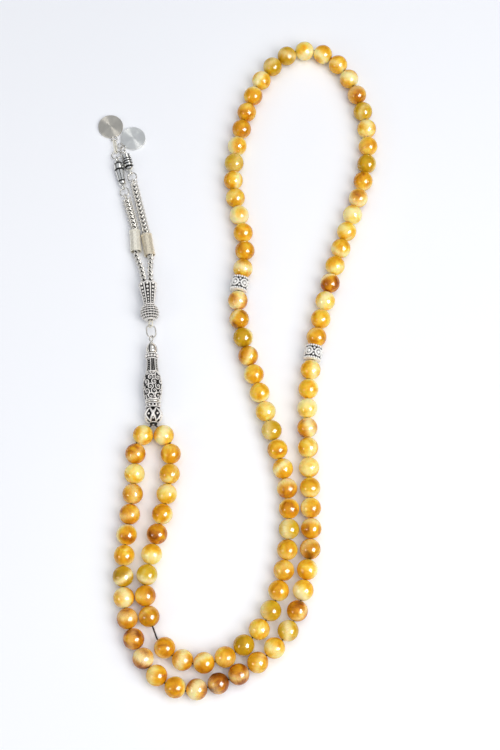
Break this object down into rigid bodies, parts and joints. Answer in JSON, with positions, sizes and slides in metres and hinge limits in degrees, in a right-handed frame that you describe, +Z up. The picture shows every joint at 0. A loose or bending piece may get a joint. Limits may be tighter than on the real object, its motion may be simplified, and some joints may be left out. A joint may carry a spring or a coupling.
{
  "type": "misbaha prayer beads",
  "caption": "Loop of polished round stone beads on a cord, with two drum separators, a filigree tower bead and a two-strand metal tassel with coins.",
  "frame": {"origin": "middle of the footprint, on the surface that the beads lie on", "axes": "+Z up from the table; +Y along the strand, from the loop at the tower foot towards the coins; +X to the right seen from above"},
  "size_m": [0.1193, 0.2811, 0.008],
  "materials": {
    "tiger_eye": "polished tiger-eye stone, gloss plastic stands in for the stone",
    "cord": "waxed dark brown thread",
    "oxidised_silver": "silver with dark oxide in its recesses",
    "bright_silver": "polished silver wire",
    "champagne_metal": "satin, pale champagne",
    "chain_silver": "satin silver chain",
    "coin_silver": "turned face with fine rings"
  },
  "bodies": {
    "strand": {"thread": "cord", "thread_knot": "cord", "beads_12_to_22": "tiger_eye", "beads_23_to_33": "tiger_eye", "beads_34_to_44": "tiger_eye", "beads_45_to_55": "tiger_eye", "beads_56_to_66": "tiger_eye", "beads_67_to_77": "tiger_eye", "beads_78_to_88": "tiger_eye"},
    "bead_01": {"bead_01": "tiger_eye"},
    "bead_02": {"bead_02": "tiger_eye"},
    "bead_03": {"bead_03": "tiger_eye"},
    "bead_04": {"bead_04": "tiger_eye"},
    "bead_05": {"bead_05": "tiger_eye"},
    "bead_06": {"bead_06": "tiger_eye"},
    "bead_07": {"bead_07": "tiger_eye"},
    "bead_08": {"bead_08": "tiger_eye"},
    "bead_09": {"bead_09": "tiger_eye"},
    "bead_10": {"bead_10": "tiger_eye"},
    "bead_11": {"bead_11": "tiger_eye"},
    "bead_89": {"bead_89": "tiger_eye"},
    "bead_90": {"bead_90": "tiger_eye"},
    "bead_91": {"bead_91": "tiger_eye"},
    "bead_92": {"bead_92": "tiger_eye"},
    "bead_93": {"bead_93": "tiger_eye"},
    "bead_94": {"bead_94": "tiger_eye"},
    "bead_95": {"bead_95": "tiger_eye"},
    "bead_96": {"bead_96": "tiger_eye"},
    "bead_97": {"bead_97": "tiger_eye"},
    "bead_98": {"bead_98": "tiger_eye"},
    "bead_99": {"bead_99": "tiger_eye"},
    "separator_1": {"separator_1": "oxidised_silver"},
    "separator_2": {"separator_2": "oxidised_silver"},
    "imame": {"imame_foot": "oxidised_silver", "imame_ring": "bright_silver", "imame_tower": "oxidised_silver", "imame_knob": "oxidised_silver", "imame_pin": "bright_silver"},
    "jump_ring": {"jump_ring": "bright_silver"},
    "cap": {"cap_pin": "champagne_metal", "cap_dome": "oxidised_silver", "cap_crown": "oxidised_silver"},
    "left_lower_strand": {"chain_left_lower": "chain_silver", "ferrule_left": "champagne_metal"},
    "left_upper_strand": {"chain_left_upper": "chain_silver"},
    "end_ring_left": {"end_ring_left": "bright_silver"},
    "end_cap_left": {"end_cap_left": "oxidised_silver"},
    "link_left_lower": {"link_left_lower": "bright_silver"},
    "link_left_upper": {"link_left_upper": "champagne_metal"},
    "coin_left": {"coin_left": "coin_silver"},
    "right_lower_strand": {"chain_right_lower": "chain_silver", "ferrule_right": "champagne_metal"},
    "right_upper_strand": {"chain_right_upper": "chain_silver"},
    "end_ring_right": {"end_ring_right": "bright_silver"},
    "end_cap_right": {"end_cap_right": "oxidised_silver"},
    "link_right": {"link_right": "bright_silver"},
    "coin_right": {"coin_right": "coin_silver"}
  },
  "joints": [
    {"name": "bead_01_spin", "type": "hinge", "parent": "strand", "child": "bead_01", "pos_m": [-0.02814, -0.03815, 0.004], "axis": [0.6142, -0.7891, 0], "continuous": true},
    {"name": "bead_02_spin", "type": "hinge", "parent": "strand", "child": "bead_02", "pos_m": [-0.02525, -0.04577, 0.004], "axis": [0.0308, -0.9995, 0], "continuous": true},
    {"name": "bead_03_spin", "type": "hinge", "parent": "strand", "child": "bead_03", "pos_m": [-0.02548, -0.05389, 0.004], "axis": [-0.0881, -0.9961, 0], "continuous": true},
    {"name": "bead_04_spin", "type": "hinge", "parent": "strand", "child": "bead_04", "pos_m": [-0.02648, -0.06196, 0.004], "axis": [-0.1584, -0.9874, 0], "continuous": true},
    {"name": "bead_05_spin", "type": "hinge", "parent": "strand", "child": "bead_05", "pos_m": [-0.02803, -0.06995, 0.004], "axis": [-0.2221, -0.975, 0], "continuous": true},
    {"name": "bead_06_spin", "type": "hinge", "parent": "strand", "child": "bead_06", "pos_m": [-0.02992, -0.07787, 0.004], "axis": [-0.2406, -0.9706, 0], "continuous": true},
    {"name": "bead_07_spin", "type": "hinge", "parent": "strand", "child": "bead_07", "pos_m": [-0.03182, -0.08578, 0.004], "axis": [-0.2281, -0.9736, 0], "continuous": true},
    {"name": "bead_08_spin", "type": "hinge", "parent": "strand", "child": "bead_08", "pos_m": [-0.03341, -0.09376, 0.004], "axis": [-0.1625, -0.9867, 0], "continuous": true},
    {"name": "bead_09_spin", "type": "hinge", "parent": "strand", "child": "bead_09", "pos_m": [-0.03388, -0.10184, 0.004], "axis": [0.0486, -0.9988, 0], "continuous": true},
    {"name": "bead_10_slide", "type": "slide", "parent": "strand", "child": "bead_10", "axis": [0.3565, -0.9343, 0], "range_m": [0, 0.005]},
    {"name": "bead_11_spin", "type": "hinge", "parent": "strand", "child": "bead_11", "pos_m": [-0.02606, -0.12144, 0.004], "axis": [0.6823, -0.7311, 0], "continuous": true},
    {"name": "bead_89_spin", "type": "hinge", "parent": "strand", "child": "bead_89", "pos_m": [-0.03781, -0.11826, 0.004], "axis": [-0.3859, 0.9225, 0], "continuous": true},
    {"name": "bead_90_spin", "type": "hinge", "parent": "strand", "child": "bead_90", "pos_m": [-0.04045, -0.11057, 0.004], "axis": [-0.2614, 0.9652, 0], "continuous": true},
    {"name": "bead_91_spin", "type": "hinge", "parent": "strand", "child": "bead_91", "pos_m": [-0.042, -0.1026, 0.004], "axis": [-0.1198, 0.9928, 0], "continuous": true},
    {"name": "bead_92_spin", "type": "hinge", "parent": "strand", "child": "bead_92", "pos_m": [-0.04253, -0.09449, 0.004], "axis": [-0.01, 0.9999, 0], "continuous": true},
    {"name": "bead_93_spin", "type": "hinge", "parent": "strand", "child": "bead_93", "pos_m": [-0.04234, -0.08636, 0.004], "axis": [0.0566, 0.9984, 0], "continuous": true},
    {"name": "bead_94_spin", "type": "hinge", "parent": "strand", "child": "bead_94", "pos_m": [-0.04165, -0.07825, 0.004], "axis": [0.1115, 0.9938, 0], "continuous": true},
    {"name": "bead_95_spin", "type": "hinge", "parent": "strand", "child": "bead_95", "pos_m": [-0.04069, -0.07017, 0.004], "axis": [0.1257, 0.9921, 0], "continuous": true},
    {"name": "bead_96_spin", "type": "hinge", "parent": "strand", "child": "bead_96", "pos_m": [-0.03974, -0.06209, 0.004], "axis": [0.1071, 0.9942, 0], "continuous": true},
    {"name": "bead_97_spin", "type": "hinge", "parent": "strand", "child": "bead_97", "pos_m": [-0.03926, -0.05397, 0.004], "axis": [0.0103, 0.9999, 0], "continuous": true},
    {"name": "bead_98_spin", "type": "hinge", "parent": "strand", "child": "bead_98", "pos_m": [-0.03914, -0.04583, 0.004], "axis": [0.0206, 0.9998, 0], "continuous": true},
    {"name": "bead_99_spin", "type": "hinge", "parent": "strand", "child": "bead_99", "pos_m": [-0.03633, -0.03818, 0.004], "axis": [0.6058, 0.7956, 0], "continuous": true},
    {"name": "separator_1_spin", "type": "hinge", "parent": "strand", "child": "separator_1", "pos_m": [0.00165, 0.02649, 0.004], "axis": [0.1923, 0.9813, 0], "continuous": true},
    {"name": "separator_2_spin", "type": "hinge", "parent": "strand", "child": "separator_2", "pos_m": [0.03161, -0.00313, 0.004], "axis": [-0.1842, -0.9829, 0], "continuous": true},
    {"name": "imame_swing", "type": "hinge", "parent": "strand", "child": "imame", "pos_m": [-0.03225, -0.0339, 0.004], "axis": [0, 0, 1], "range_deg": [-3, 3]},
    {"name": "jump_ring_swing", "type": "hinge", "parent": "imame", "child": "jump_ring", "pos_m": [-0.03408, 0.00361, 0.004], "axis": [0, 0, 1], "range_deg": [-3, 15]},
    {"name": "cap_swing", "type": "hinge", "parent": "jump_ring", "child": "cap", "pos_m": [-0.03436, 0.00815, 0.004], "axis": [0, 0, 1], "range_deg": [-3, 15]},
    {"name": "left_chain_swing", "type": "hinge", "parent": "cap", "child": "left_lower_strand", "pos_m": [-0.03727, 0.02475, 0.004], "axis": [0, 0, 1], "range_deg": [0, 5]},
    {"name": "left_chain_bend", "type": "hinge", "parent": "left_lower_strand", "child": "left_upper_strand", "pos_m": [-0.04201, 0.04919, 0.0022], "axis": [0, 0, 1], "range_deg": [0, 8]},
    {"name": "end_ring_left_swing", "type": "hinge", "parent": "left_upper_strand", "child": "end_ring_left", "pos_m": [-0.04662, 0.06725, 0.0022], "axis": [0, 0, 1], "range_deg": [0, 20]},
    {"name": "end_cap_left_swing", "type": "hinge", "parent": "end_ring_left", "child": "end_cap_left", "pos_m": [-0.04742, 0.07019, 0.0022], "axis": [0, 0, 1], "range_deg": [0, 20]},
    {"name": "link_left_lower_swing", "type": "hinge", "parent": "end_cap_left", "child": "link_left_lower", "pos_m": [-0.05074, 0.08467, 0.0022], "axis": [0, 0, 1], "range_deg": [0, 20]},
    {"name": "link_left_upper_swing", "type": "hinge", "parent": "link_left_lower", "child": "link_left_upper", "pos_m": [-0.05128, 0.08787, 0.0012], "axis": [0, 0, 1], "range_deg": [0, 20]},
    {"name": "coin_left_swing", "type": "hinge", "parent": "link_left_upper", "child": "coin_left", "pos_m": [-0.05204, 0.09327, 0.001], "axis": [0, 0, 1], "range_deg": [0, 25]},
    {"name": "right_chain_swing", "type": "hinge", "parent": "cap", "child": "right_lower_strand", "pos_m": [-0.03468, 0.02499, 0.004], "axis": [0, 0, 1], "range_deg": [-3, 0]},
    {"name": "right_chain_bend", "type": "hinge", "parent": "right_lower_strand", "child": "right_upper_strand", "pos_m": [-0.03697, 0.04745, 0.0022], "axis": [0, 0, 1], "range_deg": [-4, 0]},
    {"name": "end_ring_right_swing", "type": "hinge", "parent": "right_upper_strand", "child": "end_ring_right", "pos_m": [-0.0436, 0.07426, 0.0022], "axis": [0, 0, 1], "range_deg": [-10, 0]},
    {"name": "end_cap_right_swing", "type": "hinge", "parent": "end_ring_right", "child": "end_cap_right", "pos_m": [-0.04444, 0.07719, 0.0022], "axis": [0, 0, 1], "range_deg": [-10, 0]},
    {"name": "link_right_swing", "type": "hinge", "parent": "end_cap_right", "child": "link_right", "pos_m": [-0.04784, 0.08791, 0.0022], "axis": [0, 0, 1], "range_deg": [-10, 0]},
    {"name": "coin_right_swing", "type": "hinge", "parent": "link_right", "child": "coin_right", "pos_m": [-0.04903, 0.09016, 0.001], "axis": [0, 0, 1], "range_deg": [-10, 0]}
  ]
}
